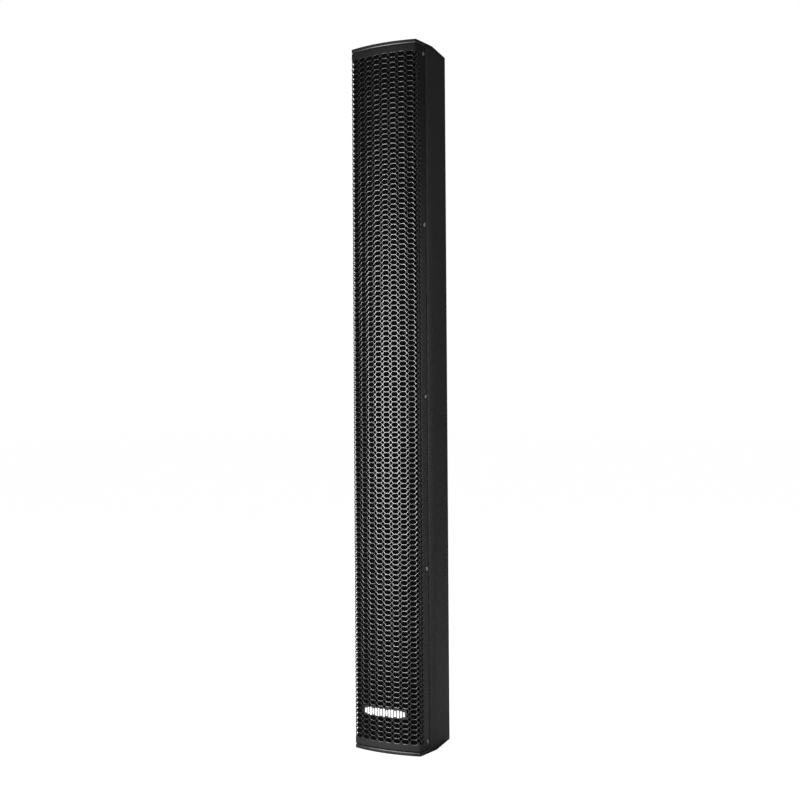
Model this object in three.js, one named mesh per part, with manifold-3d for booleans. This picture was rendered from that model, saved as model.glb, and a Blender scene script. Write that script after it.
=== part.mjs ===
// Slim column loudspeaker: a painted plywood cabinet with a bowed steel grille, eight small drivers behind it
// and a connector plate at the back. Millimetres, +Z up, the grille faces -Y and the connectors face +Y.
import * as THREE from 'three';
import { mergeVertices } from 'three/addons/utils/BufferGeometryUtils.js';
import Module from 'manifold-3d';

// Cabinet. Depths are measured backwards from the fold line, where the grille's bow meets its side flanges.
const HEIGHT = 990;
const WIDTH = 107;
const BOW = 8;
const SIDE_STRAIGHT = 45;
const TAPER_DEPTH = 64;
const TAPER_INSET = 15;
const DEPTH = SIDE_STRAIGHT + TAPER_DEPTH;
const SIDE_THICKNESS = 10;
const REAR_THICKNESS = 12;
const LIP_THICKNESS = 6;
const PLUG_THICKNESS = 6;
const GAP = 0.3;

// Grille and the foam sheet behind it.
const GRILLE_THICKNESS = 1.2;
const GRILLE_FLANGE = 23.6;
const GRILLE_SEAM = 1;
const GRILLE_END_GAP = 0.8;
const GRILLE_STEP = GRILLE_THICKNESS + GAP;
const FOAM_THICKNESS = 3;
const FOAM_HALF_WIDTH = 50;
const FOAM_END_MARGIN = 8;
const PANEL_FRONT = 5;
const BOW_STEPS = 16;

// Badge on the bow, near the foot.
const BADGE_WIDTH = 70;
const BADGE_HEIGHT = 13;
const BADGE_THICKNESS = 1.2;
const BADGE_Z = 56.5;
const BADGE_STEPS = 8;

// Countersunk screws: five down each grille flange and four on the connector plate.
const SCREW_HEAD_RADIUS = 2.6;
const SCREW_SHANK_RADIUS = 1.5;
const SCREW_HEAD_DEPTH = 1.7;
const SCREW_LENGTH = 9;
const SCREW_SIDES = 10;
const GRILLE_SCREW_DEPTH = 20;
const GRILLE_SCREW_END = 17;
const GRILLE_SCREWS_PER_SIDE = 5;

// Baffle and drivers. A driver's own depths are measured backwards from the face of the baffle.
const BAFFLE_FRONT = 10;
const BAFFLE_THICKNESS = 12;
const CUTOUT_RADIUS = 36.4;
const CUTOUT_SIDES = 24;
const DRIVER_COUNT = 8;
const DRIVER_PITCH = 118;
const DRIVER_SIDES = 16;
const BASKET_FLANGE = 79;
const BASKET_CORNER = 12;
const BASKET_FLANGE_THICKNESS = 2.5;
const BASKET_THROAT_RADIUS = 34.2;
const BASKET_WALL = 1.2;
const BASKET_BACK_RADIUS = 28;
const BASKET_BACK_BORE = 14;
const BASKET_SHOULDER = 5;
const BASKET_DEPTH = 26;
const BASKET_BACK_THICKNESS = 2;
const BASKET_WINDOWS = 4;
const WINDOW_WIDTH = 26;
const WINDOW_FRONT = 8;
const WINDOW_BACK = 21;
const POLE_RADIUS = 8.2;
const POLE_FRONT = 24.6;
const SLOT_RADIUS = 11.8;
const SLOT_DEPTH = 40;
const FRONT_PLATE_RADIUS = 24;
const FRONT_PLATE_BACK = 30;
const MAGNET_RADIUS = 28;
const MAGNET_BACK = 42;
const MOTOR_BACK = 44;
const MOTOR_BACK_RADIUS = 25;
const CONE_NECK_RADIUS = 10.4;
const CONE_NECK_DEPTH = 16.9;
const CONE_MOUTH_RADIUS = 27;
const CONE_MOUTH_DEPTH = 1.2;
const CONE_THICKNESS = 1.4;
const CAP_FRONT = 11.5;
const FORMER_INNER_RADIUS = 9.2;
const FORMER_BACK = 34;
const SURROUND_RADIUS = 33.6;
const SURROUND_CREST = -1.6;
const SURROUND_EDGE_FRONT = 0.4;
const SURROUND_EDGE_BACK = 1.6;

// Connector plate, its two sockets and the inserts for a wall bracket.
const PLATE_WIDTH = 56;
const PLATE_HEIGHT = 104;
const PLATE_THICKNESS = 2;
const PLATE_Z = 90;
const PLATE_CORNER = 4;
const PLATE_SCREW_X = 22.5;
const PLATE_SCREW_Z = 46;
const PLATE_WINDOW_WIDTH = 34;
const PLATE_WINDOW_HEIGHT = 78;
const SOCKET_SPACING = 38;
const SOCKET_FLANGE_WIDTH = 26;
const SOCKET_FLANGE_HEIGHT = 31;
const SOCKET_FLANGE_THICKNESS = 2;
const SOCKET_CORNER = 3;
const SOCKET_BODY_RADIUS = 12;
const SOCKET_RECESS_RADIUS = 10.5;
const SOCKET_RECESS_DEPTH = 18;
const SOCKET_FLOOR = 2.5;
const SOCKET_SIDES = 24;
const INSERT_RADIUS = 4.5;
const INSERT_BORE = 2.5;
const INSERT_SIDES = 12;
const INSERT_SPACING = 70;
const BRACKET_HEIGHTS = [245, 815];

// Crossover and wadding on the inside of the rear panel.
const BOARD_WIDTH = 50;
const BOARD_HEIGHT = 84;
const BOARD_THICKNESS = 1.6;
const BOARD_Z = 188;
const BOARD_CORNER = 2;
const COIL_INNER_RADIUS = 7;
const COIL_OUTER_RADIUS = 16;
const COIL_LENGTH = 14;
const COIL_SIDES = 20;
const COIL_X = 4;
const COIL_Z = BOARD_Z + 20;
const CAPACITOR_RADIUS = 7;
const CAPACITOR_LENGTH = 30;
const CAPACITOR_Z = BOARD_Z - 8;
const RESISTOR_LENGTH = 38;
const RESISTOR_SIDE = 9;
const RESISTOR_Z = BOARD_Z - 28;
const PAD_WIDTH = 54;
const PAD_THICKNESS = 12;
const PAD_BOTTOM = 262;
const PAD_TOP = 970;
const PAD_CORNER = 6;

// Lengths that follow from the ones above.
const HALF = WIDTH / 2;
const BOW_RADIUS = (HALF * HALF + BOW * BOW) / (2 * BOW);
const BOW_CENTRE = BOW_RADIUS - BOW;
const TAPER_SLOPE = TAPER_INSET / TAPER_DEPTH;
const WALL_ACROSS = SIDE_THICKNESS * Math.hypot(1, TAPER_SLOPE);
const STRAIGHT_INNER = HALF - GRILLE_STEP - SIDE_THICKNESS;
const INNER_BEND = SIDE_STRAIGHT + (HALF - WALL_ACROSS - STRAIGHT_INNER) / TAPER_SLOPE;
const REAR_INNER = DEPTH - REAR_THICKNESS;
const PANEL_HEIGHT = HEIGHT - 2 * (LIP_THICKNESS + GAP);
const PLATE_FACE = DEPTH + GAP + PLATE_THICKNESS;
const REARMOST = PLATE_FACE + GAP + SOCKET_FLANGE_THICKNESS;
const FOREMOST = -(BOW + GAP + BADGE_THICKNESS);

const wasm = await Module();
wasm.setup();

const group = new THREE.Group();
group.position.y = -(FOREMOST + REARMOST) / 2;

const MATERIALS = {
  cabinet: { color: 0x17181a, roughness: 0.75, metalness: 0 },
  board: { color: 0x2a2420, roughness: 0.9, metalness: 0 },
  grille: { color: 0x1c1d1f, roughness: 0.55, metalness: 0.4 },
  foam: { color: 0x0a0a0b, roughness: 1, metalness: 0 },
  badge: { color: 0xe8e8ea, roughness: 0.35, metalness: 0.1 },
  screw: { color: 0x3a3b3d, roughness: 0.35, metalness: 0.9 },
  basket: { color: 0x202123, roughness: 0.6, metalness: 0.5 },
  magnet: { color: 0x2c2c2e, roughness: 0.7, metalness: 0.2 },
  cone: { color: 0x141414, roughness: 0.9, metalness: 0 },
  plate: { color: 0x18191b, roughness: 0.5, metalness: 0.4 },
  socket: { color: 0x101113, roughness: 0.6, metalness: 0 },
  circuit: { color: 0x1e5b34, roughness: 0.5, metalness: 0 },
  winding: { color: 0xb06a35, roughness: 0.4, metalness: 0.7 },
  capacitor: { color: 0x9c2b1f, roughness: 0.3, metalness: 0 },
  resistor: { color: 0xd9d4c7, roughness: 0.8, metalness: 0 },
  wadding: { color: 0xdcdad2, roughness: 1, metalness: 0 },
  insert: { color: 0xb08d4a, roughness: 0.35, metalness: 0.9 },
};

function addPart(name, geometry, look, x = 0, y = 0, z = 0) {
  const mesh = new THREE.Mesh(geometry, new THREE.MeshStandardMaterial(MATERIALS[look]));
  mesh.name = name;
  mesh.position.set(x, y, z);
  group.add(mesh);
}

// Solids for cutting and joining.
function toSolid(geometry) {
  const bare = geometry.clone();
  bare.deleteAttribute('normal');
  bare.deleteAttribute('uv');
  const merged = mergeVertices(bare);
  const vertProperties = new Float32Array(merged.attributes.position.array);
  const triVerts = new Uint32Array(merged.index.array);
  return new wasm.Manifold(new wasm.Mesh({ numProp: 3, vertProperties, triVerts }));
}

function toGeometry(solid) {
  const { vertProperties, triVerts } = solid.getMesh();
  const geometry = new THREE.BufferGeometry();
  geometry.setAttribute('position', new THREE.BufferAttribute(vertProperties, 3));
  geometry.setIndex(new THREE.BufferAttribute(triVerts, 1));
  return geometry;
}

function cut(geometry, cutters) {
  let solid = toSolid(geometry);
  for (const cutter of cutters) {
    solid = solid.subtract(toSolid(cutter));
  }
  return toGeometry(solid);
}

// A plan outline is x and depth, raised along Z. A face outline is x and height, thickened along +Y.
function outline(points) {
  return new THREE.Shape(points.map(([x, y]) => new THREE.Vector2(x, y)));
}

function raise(points, height) {
  return new THREE.ExtrudeGeometry(outline(points), { depth: height, bevelEnabled: false });
}

function thicken(shape, thickness, curveSegments = 4) {
  const geometry = new THREE.ExtrudeGeometry(shape, { depth: thickness, bevelEnabled: false, curveSegments });
  return geometry.rotateX(Math.PI / 2).translate(0, thickness, 0);
}

function roundedRectangle(width, height, corner) {
  const shape = new THREE.Shape();
  const right = width / 2 - corner;
  const top = height / 2 - corner;
  shape.absarc(right, top, corner, 0, Math.PI / 2);
  shape.absarc(-right, top, corner, Math.PI / 2, Math.PI);
  shape.absarc(-right, -top, corner, Math.PI, 1.5 * Math.PI);
  shape.absarc(right, -top, corner, 1.5 * Math.PI, 2 * Math.PI);
  return shape;
}

// Points along the bow, set back from its outer face, from left to right.
function bowPoints(setback, halfWidth, steps) {
  const radius = BOW_RADIUS - setback;
  const sweep = Math.asin(halfWidth / radius);
  return Array.from({ length: steps + 1 }, (_, i) => {
    const angle = sweep * (2 * i / steps - 1);
    return [radius * Math.sin(angle), BOW_CENTRE - radius * Math.cos(angle)];
  });
}

function bowedStrip(setback, thickness, halfWidth, steps, height) {
  const front = bowPoints(setback, halfWidth, steps);
  const back = bowPoints(setback + thickness, halfWidth, steps);
  return raise([...front, ...back.reverse()], height);
}

function outerHalfWidth(depth) {
  return HALF - Math.max(0, depth - SIDE_STRAIGHT) * TAPER_SLOPE;
}

function innerHalfWidth(depth) {
  return Math.min(STRAIGHT_INNER, outerHalfWidth(depth) - WALL_ACROSS);
}

// A body turned about the Y axis, from radius and depth pairs.
function turn(profile, sides) {
  return new THREE.LatheGeometry(profile.map(([r, y]) => new THREE.Vector2(r, y)), sides);
}

function ring(inner, outer, length) {
  return [[inner, 0], [outer, 0], [outer, length], [inner, length], [inner, 0]];
}

function rodAlongY(radius, length, sides) {
  return new THREE.CylinderGeometry(radius, radius, length, sides);
}

// A countersunk screw: the face of its head is at y = 0 and its point is towards +Y.
function screwGeometry() {
  const profile = [
    [0, 0],
    [SCREW_HEAD_RADIUS, 0],
    [SCREW_SHANK_RADIUS, SCREW_HEAD_DEPTH],
    [SCREW_SHANK_RADIUS, SCREW_LENGTH - SCREW_SHANK_RADIUS],
    [0, SCREW_LENGTH],
  ];
  return turn(profile, SCREW_SIDES);
}

// The clearance hole for that screw, open past its head.
function screwHoleGeometry() {
  const head = SCREW_HEAD_RADIUS + GAP;
  const shank = SCREW_SHANK_RADIUS + GAP;
  const end = SCREW_LENGTH + GAP;
  const profile = [[0, -GAP], [head, -GAP], [head, 0], [shank, SCREW_HEAD_DEPTH], [shank, end], [0, end]];
  return turn(profile, SCREW_SIDES);
}

function grilleScrewHeights() {
  const step = (HEIGHT - 2 * GRILLE_SCREW_END) / (GRILLE_SCREWS_PER_SIDE - 1);
  return Array.from({ length: GRILLE_SCREWS_PER_SIDE }, (_, i) => GRILLE_SCREW_END + i * step);
}

// Turns a screw or its hole so that it goes inwards through the flange on that side (+1 right, -1 left).
function onFlange(geometry, side, z) {
  return geometry.rotateZ(side * Math.PI / 2).translate(side * HALF, GRILLE_SCREW_DEPTH, z);
}

function flangeHoles(side) {
  return grilleScrewHeights().map((z) => onFlange(screwHoleGeometry(), side, z));
}

function plateScrewPlaces() {
  const heights = [PLATE_Z - PLATE_SCREW_Z, PLATE_Z + PLATE_SCREW_Z];
  return heights.flatMap((z) => [[-PLATE_SCREW_X, z], [PLATE_SCREW_X, z]]);
}

function insertPlaces() {
  return BRACKET_HEIGHTS.flatMap((z) => [z - INSERT_SPACING / 2, z + INSERT_SPACING / 2]);
}

function driverHeights() {
  const lowest = HEIGHT / 2 - DRIVER_PITCH * (DRIVER_COUNT - 1) / 2;
  return Array.from({ length: DRIVER_COUNT }, (_, i) => lowest + i * DRIVER_PITCH);
}

function addSidePanel(name, side) {
  const step = HALF - GRILLE_STEP;
  const stepDepth = GRILLE_FLANGE + GRILLE_SEAM;
  const points = [
    [step, PANEL_FRONT],
    [step, stepDepth],
    [HALF, stepDepth],
    [HALF, SIDE_STRAIGHT],
    [outerHalfWidth(DEPTH), DEPTH],
    [innerHalfWidth(DEPTH), DEPTH],
    [STRAIGHT_INNER, INNER_BEND],
    [STRAIGHT_INNER, PANEL_FRONT],
  ];
  const bottom = LIP_THICKNESS + GAP;
  const panel = raise(points.map(([x, y]) => [side * x, y]), PANEL_HEIGHT).translate(0, 0, bottom);
  addPart(name, cut(panel, flangeHoles(side)), 'cabinet');
}

function addRearPanel() {
  const outside = innerHalfWidth(DEPTH) - GAP;
  const inside = innerHalfWidth(REAR_INNER) - GAP;
  const points = [[-inside, REAR_INNER], [inside, REAR_INNER], [outside, DEPTH], [-outside, DEPTH]];
  const panel = raise(points, PANEL_HEIGHT).translate(0, 0, LIP_THICKNESS + GAP);
  const window = new THREE.BoxGeometry(PLATE_WINDOW_WIDTH, 3 * REAR_THICKNESS, PLATE_WINDOW_HEIGHT);
  const cutters = [window.translate(0, DEPTH, PLATE_Z)];
  for (const [x, z] of plateScrewPlaces()) {
    cutters.push(screwHoleGeometry().rotateZ(Math.PI).translate(x, PLATE_FACE, z));
  }
  for (const z of insertPlaces()) {
    cutters.push(rodAlongY(INSERT_RADIUS + GAP, 3 * REAR_THICKNESS, INSERT_SIDES).translate(0, DEPTH, z));
  }
  addPart('rear_panel', cut(panel, cutters), 'cabinet');
}

// An end panel is a full-outline lip with a smaller plug on it that fits between the side panels.
function endPanelGeometry() {
  const rear = outerHalfWidth(DEPTH);
  const lip = [
    ...bowPoints(0, HALF, BOW_STEPS),
    [HALF, SIDE_STRAIGHT],
    [rear, DEPTH],
    [-rear, DEPTH],
    [-HALF, SIDE_STRAIGHT],
  ];
  const plugFront = STRAIGHT_INNER - GAP;
  const plugRear = innerHalfWidth(REAR_INNER) - 2 * GAP;
  const plug = [
    [-plugFront, PANEL_FRONT],
    [plugFront, PANEL_FRONT],
    [plugFront, INNER_BEND],
    [plugRear, REAR_INNER - GAP],
    [-plugRear, REAR_INNER - GAP],
    [-plugFront, INNER_BEND],
  ];
  const sunk = LIP_THICKNESS / 2;
  const plugSolid = toSolid(raise(plug, sunk + PLUG_THICKNESS).translate(0, 0, sunk));
  return toGeometry(toSolid(raise(lip, LIP_THICKNESS)).add(plugSolid));
}

function addEndPanels() {
  addPart('bottom_panel', endPanelGeometry(), 'cabinet');
  addPart('top_panel', endPanelGeometry().rotateY(Math.PI), 'cabinet', 0, 0, HEIGHT);
}

function addFrontBaffle() {
  const end = LIP_THICKNESS + PLUG_THICKNESS + GAP;
  const half = STRAIGHT_INNER - GAP;
  const face = outline([[-half, end], [half, end], [half, HEIGHT - end], [-half, HEIGHT - end]]);
  for (const z of driverHeights()) {
    face.holes.push(new THREE.Path().absarc(0, z, CUTOUT_RADIUS, 0, 2 * Math.PI));
  }
  addPart('front_baffle', thicken(face, BAFFLE_THICKNESS, CUTOUT_SIDES / 2), 'board', 0, BAFFLE_FRONT, 0);
}

// One bent sheet: the bow across the front and a flange down each side.
function addGrille() {
  const inner = HALF - GRILLE_THICKNESS;
  const points = [
    [-HALF, GRILLE_FLANGE],
    ...bowPoints(0, HALF, BOW_STEPS),
    [HALF, GRILLE_FLANGE],
    [inner, GRILLE_FLANGE],
    ...bowPoints(GRILLE_THICKNESS, inner, BOW_STEPS).reverse(),
    [-inner, GRILLE_FLANGE],
  ];
  const bottom = LIP_THICKNESS + GRILLE_END_GAP;
  const sheet = raise(points, HEIGHT - 2 * bottom).translate(0, 0, bottom);
  addPart('grille', cut(sheet, [...flangeHoles(-1), ...flangeHoles(1)]), 'grille');
}

function addGrilleFoam() {
  const bottom = LIP_THICKNESS + FOAM_END_MARGIN;
  const strip = bowedStrip(GRILLE_STEP, FOAM_THICKNESS, FOAM_HALF_WIDTH, BOW_STEPS, HEIGHT - 2 * bottom);
  addPart('grille_foam', strip, 'foam', 0, 0, bottom);
}

function addBadge() {
  const front = -(GAP + BADGE_THICKNESS);
  const strip = bowedStrip(front, BADGE_THICKNESS, BADGE_WIDTH / 2, BADGE_STEPS, BADGE_HEIGHT);
  addPart('badge', strip, 'badge', 0, 0, BADGE_Z - BADGE_HEIGHT / 2);
}

function addGrilleScrews() {
  for (const [word, side] of [['left', -1], ['right', 1]]) {
    grilleScrewHeights().forEach((z, i) => {
      addPart(`grille_screw_${word}_${i + 1}`, onFlange(screwGeometry(), side, z), 'screw');
    });
  }
}

// A square flange with round corners and, behind it, a tapered bowl with windows in its wall.
function basketGeometry() {
  const wall = BASKET_THROAT_RADIUS + BASKET_WALL;
  const backInside = BASKET_DEPTH - BASKET_BACK_THICKNESS;
  const sunk = BASKET_FLANGE_THICKNESS / 2;
  const bowl = [
    [BASKET_THROAT_RADIUS, -sunk],
    [wall, -sunk],
    [wall, BASKET_SHOULDER],
    [BASKET_BACK_RADIUS, BASKET_DEPTH],
    [BASKET_BACK_BORE, BASKET_DEPTH],
    [BASKET_BACK_BORE, backInside],
    [BASKET_BACK_RADIUS - BASKET_WALL, backInside],
    [BASKET_THROAT_RADIUS, BASKET_SHOULDER],
    [BASKET_THROAT_RADIUS, -sunk],
  ];
  const face = roundedRectangle(BASKET_FLANGE, BASKET_FLANGE, BASKET_CORNER);
  const plate = thicken(face, BASKET_FLANGE_THICKNESS).translate(0, -BASKET_FLANGE_THICKNESS, 0);
  const throat = rodAlongY(BASKET_THROAT_RADIUS, BASKET_DEPTH, DRIVER_SIDES);
  const flange = toSolid(cut(plate, [throat]));
  const windowDepth = (WINDOW_FRONT + WINDOW_BACK) / 2;
  const windows = Array.from({ length: BASKET_WINDOWS }, (_, i) => {
    const box = new THREE.BoxGeometry(CUTOUT_RADIUS, WINDOW_BACK - WINDOW_FRONT, WINDOW_WIDTH);
    return box.translate(CUTOUT_RADIUS, windowDepth, 0).rotateY(Math.PI * (0.25 + 2 * i / BASKET_WINDOWS));
  });
  return cut(toGeometry(flange.add(toSolid(turn(bowl, DRIVER_SIDES)))), windows);
}

// Front plate, ring magnet, back plate and pole piece, with the slot that the voice coil moves in.
function motorGeometry() {
  const frontPlate = BASKET_DEPTH + GAP;
  const profile = [
    [0, POLE_FRONT],
    [POLE_RADIUS, POLE_FRONT],
    [POLE_RADIUS, SLOT_DEPTH],
    [SLOT_RADIUS, SLOT_DEPTH],
    [SLOT_RADIUS, frontPlate],
    [FRONT_PLATE_RADIUS, frontPlate],
    [FRONT_PLATE_RADIUS, FRONT_PLATE_BACK],
    [MAGNET_RADIUS, FRONT_PLATE_BACK],
    [MAGNET_RADIUS, MAGNET_BACK],
    [MOTOR_BACK_RADIUS, MOTOR_BACK],
    [0, MOTOR_BACK],
  ];
  return turn(profile, DRIVER_SIDES);
}

// Dust cap, cone, rolled surround and voice coil former, which move together.
function coneGeometry() {
  const crest = (CONE_MOUTH_RADIUS + SURROUND_RADIUS) / 2;
  const profile = [
    [0, CAP_FRONT],
    [CONE_NECK_RADIUS, CONE_NECK_DEPTH - CONE_THICKNESS],
    [CONE_MOUTH_RADIUS, CONE_MOUTH_DEPTH],
    [crest, SURROUND_CREST],
    [SURROUND_RADIUS, SURROUND_EDGE_FRONT],
    [SURROUND_RADIUS, SURROUND_EDGE_BACK],
    [crest, SURROUND_CREST + CONE_THICKNESS],
    [CONE_MOUTH_RADIUS, CONE_MOUTH_DEPTH + CONE_THICKNESS],
    [CONE_NECK_RADIUS, CONE_NECK_DEPTH],
    [CONE_NECK_RADIUS, FORMER_BACK],
    [FORMER_INNER_RADIUS, FORMER_BACK],
    [FORMER_INNER_RADIUS, CONE_NECK_DEPTH],
    [0, CAP_FRONT + CONE_THICKNESS],
  ];
  return turn(profile, DRIVER_SIDES);
}

function addDrivers() {
  driverHeights().forEach((z, i) => {
    const face = BAFFLE_FRONT - GAP;
    addPart(`driver_basket_${i + 1}`, basketGeometry(), 'basket', 0, face, z);
    addPart(`driver_motor_${i + 1}`, motorGeometry(), 'magnet', 0, face, z);
    addPart(`driver_cone_${i + 1}`, coneGeometry(), 'cone', 0, face, z);
  });
}

function socketHeights() {
  return [PLATE_Z - SOCKET_SPACING / 2, PLATE_Z + SOCKET_SPACING / 2];
}

function addTerminalPlate() {
  const sheet = thicken(roundedRectangle(PLATE_WIDTH, PLATE_HEIGHT, PLATE_CORNER), PLATE_THICKNESS);
  const hole = SOCKET_BODY_RADIUS + GAP;
  const cutters = socketHeights().map((z) => {
    return rodAlongY(hole, 3 * PLATE_THICKNESS, SOCKET_SIDES).translate(0, 0, z - PLATE_Z);
  });
  for (const [x, z] of plateScrewPlaces()) {
    cutters.push(screwHoleGeometry().rotateZ(Math.PI).translate(x, PLATE_THICKNESS, z - PLATE_Z));
  }
  addPart('terminal_plate', cut(sheet, cutters), 'plate', 0, DEPTH + GAP, PLATE_Z);
}

// A square flange with a round body behind it, bored from the front for the plug.
function socketGeometry() {
  const face = roundedRectangle(SOCKET_FLANGE_WIDTH, SOCKET_FLANGE_HEIGHT, SOCKET_CORNER);
  const flange = toSolid(thicken(face, SOCKET_FLANGE_THICKNESS));
  const mouth = SOCKET_FLANGE_THICKNESS;
  const bodyFront = mouth / 2;
  const length = bodyFront - mouth + SOCKET_RECESS_DEPTH + SOCKET_FLOOR;
  const body = rodAlongY(SOCKET_BODY_RADIUS, length, SOCKET_SIDES).translate(0, bodyFront - length / 2, 0);
  const recess = rodAlongY(SOCKET_RECESS_RADIUS, 2 * SOCKET_RECESS_DEPTH, SOCKET_SIDES);
  return toGeometry(flange.add(toSolid(body)).subtract(toSolid(recess.translate(0, mouth, 0))));
}

function addSockets() {
  const [lower, upper] = socketHeights();
  addPart('input_socket_lower', socketGeometry(), 'socket', 0, PLATE_FACE + GAP, lower);
  addPart('input_socket_upper', socketGeometry(), 'socket', 0, PLATE_FACE + GAP, upper);
}

function addPlateScrews() {
  plateScrewPlaces().forEach(([x, z], i) => {
    addPart(`plate_screw_${i + 1}`, screwGeometry().rotateZ(Math.PI), 'screw', x, PLATE_FACE, z);
  });
}

function addInserts() {
  const length = REAR_THICKNESS - GAP;
  insertPlaces().forEach((z, i) => {
    const insert = turn(ring(INSERT_BORE, INSERT_RADIUS, length), INSERT_SIDES);
    addPart(`bracket_insert_${i + 1}`, insert, 'insert', 0, DEPTH - length, z);
  });
}

// The board lies on the rear panel and its three components stand on it, facing the drivers.
function addCrossover() {
  const boardFront = REAR_INNER - GAP - BOARD_THICKNESS;
  const board = thicken(roundedRectangle(BOARD_WIDTH, BOARD_HEIGHT, BOARD_CORNER), BOARD_THICKNESS);
  const coil = turn(ring(COIL_INNER_RADIUS, COIL_OUTER_RADIUS, COIL_LENGTH), COIL_SIDES);
  const can = rodAlongY(CAPACITOR_RADIUS, CAPACITOR_LENGTH, DRIVER_SIDES).rotateZ(Math.PI / 2);
  const brick = new THREE.BoxGeometry(RESISTOR_LENGTH, RESISTOR_SIDE, RESISTOR_SIDE);
  const face = boardFront - GAP;
  addPart('crossover_board', board, 'circuit', 0, boardFront, BOARD_Z);
  addPart('crossover_inductor', coil, 'winding', COIL_X, face - COIL_LENGTH, COIL_Z);
  addPart('crossover_capacitor', can, 'capacitor', 0, face - CAPACITOR_RADIUS, CAPACITOR_Z);
  addPart('crossover_resistor', brick, 'resistor', 0, face - RESISTOR_SIDE / 2, RESISTOR_Z);
}

function addDampingPad() {
  const pad = thicken(roundedRectangle(PAD_WIDTH, PAD_TOP - PAD_BOTTOM, PAD_CORNER), PAD_THICKNESS);
  addPart('damping_pad', pad, 'wadding', 0, REAR_INNER - GAP - PAD_THICKNESS, (PAD_TOP + PAD_BOTTOM) / 2);
}

addSidePanel('side_panel_left', -1);
addSidePanel('side_panel_right', 1);
addRearPanel();
addEndPanels();
addFrontBaffle();
addGrille();
addGrilleFoam();
addBadge();
addGrilleScrews();
addDrivers();
addTerminalPlate();
addSockets();
addPlateScrews();
addInserts();
addCrossover();
addDampingPad();

export default group;
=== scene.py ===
from math import asin, atan2, copysign, cos, hypot, pi, radians, sin, sqrt, tan

import bmesh
import bpy
from mathutils import Matrix, Vector, noise


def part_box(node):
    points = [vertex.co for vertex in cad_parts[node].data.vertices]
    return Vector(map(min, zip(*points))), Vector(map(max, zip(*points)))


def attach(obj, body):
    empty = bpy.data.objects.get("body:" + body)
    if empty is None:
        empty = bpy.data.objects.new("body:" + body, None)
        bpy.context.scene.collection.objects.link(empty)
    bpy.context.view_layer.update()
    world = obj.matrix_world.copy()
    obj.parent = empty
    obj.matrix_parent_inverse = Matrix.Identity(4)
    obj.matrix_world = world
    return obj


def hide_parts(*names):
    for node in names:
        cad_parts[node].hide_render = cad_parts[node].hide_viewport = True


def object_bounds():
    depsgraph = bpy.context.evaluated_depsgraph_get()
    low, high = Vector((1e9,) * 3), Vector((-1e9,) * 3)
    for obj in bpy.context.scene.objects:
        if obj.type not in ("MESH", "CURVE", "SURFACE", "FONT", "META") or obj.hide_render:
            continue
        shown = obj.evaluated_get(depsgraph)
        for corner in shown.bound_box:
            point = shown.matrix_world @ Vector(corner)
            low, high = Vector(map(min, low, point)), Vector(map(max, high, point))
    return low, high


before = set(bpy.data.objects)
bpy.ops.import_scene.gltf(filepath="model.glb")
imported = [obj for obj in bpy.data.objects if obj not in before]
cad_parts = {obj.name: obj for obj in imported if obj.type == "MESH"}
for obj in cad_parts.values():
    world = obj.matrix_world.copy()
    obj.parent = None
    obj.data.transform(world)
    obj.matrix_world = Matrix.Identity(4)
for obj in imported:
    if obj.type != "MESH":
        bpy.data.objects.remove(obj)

# Slim column loudspeaker. Metres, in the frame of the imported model: the grille faces -Y, +Z is up.
MM = 0.001
CAD_LOW, CAD_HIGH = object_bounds()
BODY = "cabinet"

# Cabinet outline. Depths are measured backwards from the fold line, where the bow meets the side flanges.
GRILLE_LOW, GRILLE_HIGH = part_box("grille")
PANEL_LOW, PANEL_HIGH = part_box("side_panel_right")
HALF = GRILLE_HIGH.x
BOW = 8 * MM
FOLD_Y = GRILLE_LOW.y + BOW
FOLD_RADIUS = 2 * MM
SIDE_STRAIGHT = 45 * MM
TAPER_INSET = 15 * MM
REAR_Y = PANEL_HIGH.y
DEPTH = REAR_Y - FOLD_Y
TAPER_SLOPE = TAPER_INSET / (DEPTH - SIDE_STRAIGHT)
SIDE_THICKNESS = 10 * MM
REAR_THICKNESS = 12 * MM
EDGE_RADIUS = 1.6 * MM
SEAM = 2.4 * MM
SEAM_BEVEL = (0.6 * MM, 2.8 * MM)
SEAM_GROOVE = 5 * MM
SEAM_RADIUS = 0.4 * MM
SEAM_OVERLAP = 1 * MM
LIP_EDGE = 0.9 * MM
BEAD_HEIGHT = 2.5 * MM
BEAD_SINK = 1.9 * MM
BASE_Z = CAD_LOW.z
TOP_Z = CAD_HIGH.z
LIP = 6 * MM
GAP = 0.3 * MM

# The grille's skin follows the bow, a small round fold and the flat flange.
BOW_RADIUS = (HALF ** 2 + BOW ** 2) / (2 * BOW)
BOW_CENTRE_Y = FOLD_Y - BOW + BOW_RADIUS
FOLD_CENTRE_X = HALF - FOLD_RADIUS
FOLD_ANGLE = asin(FOLD_CENTRE_X / (BOW_RADIUS - FOLD_RADIUS))
FOLD_CENTRE_Y = BOW_CENTRE_Y - (BOW_RADIUS - FOLD_RADIUS) * cos(FOLD_ANGLE)
BOW_LENGTH = BOW_RADIUS * FOLD_ANGLE
FOLD_LENGTH = FOLD_RADIUS * (pi / 2 - FOLD_ANGLE)
FLANGE_END = BOW_LENGTH + FOLD_LENGTH + GRILLE_HIGH.y - FOLD_CENTRE_Y

# Perforation: columns of wide hexagons stacked flat side to flat side, with a small rhombus between
# neighbours.
SHEET = 1.2 * MM
CELL_WIDTH = 12.86 * MM
CELL_ROWS = 136
CELL_COLUMNS = 10
HOLES_BOTTOM = BASE_Z + 15 * MM
HOLES_TOP = TOP_Z - 15 * MM
CELL_HEIGHT = (HOLES_TOP - HOLES_BOTTOM) / CELL_ROWS
SHOULDER = 3.3 * MM
HEXAGON_INSET = 0.62 * MM
HEXAGON_CUT = 0.8 * MM
DIAMOND_INSET = 0.25 * MM
DIAMOND_CUT = 0.3 * MM
BAR_CROWN = 0.2 * MM
FOLD_STEPS = 3

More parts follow.
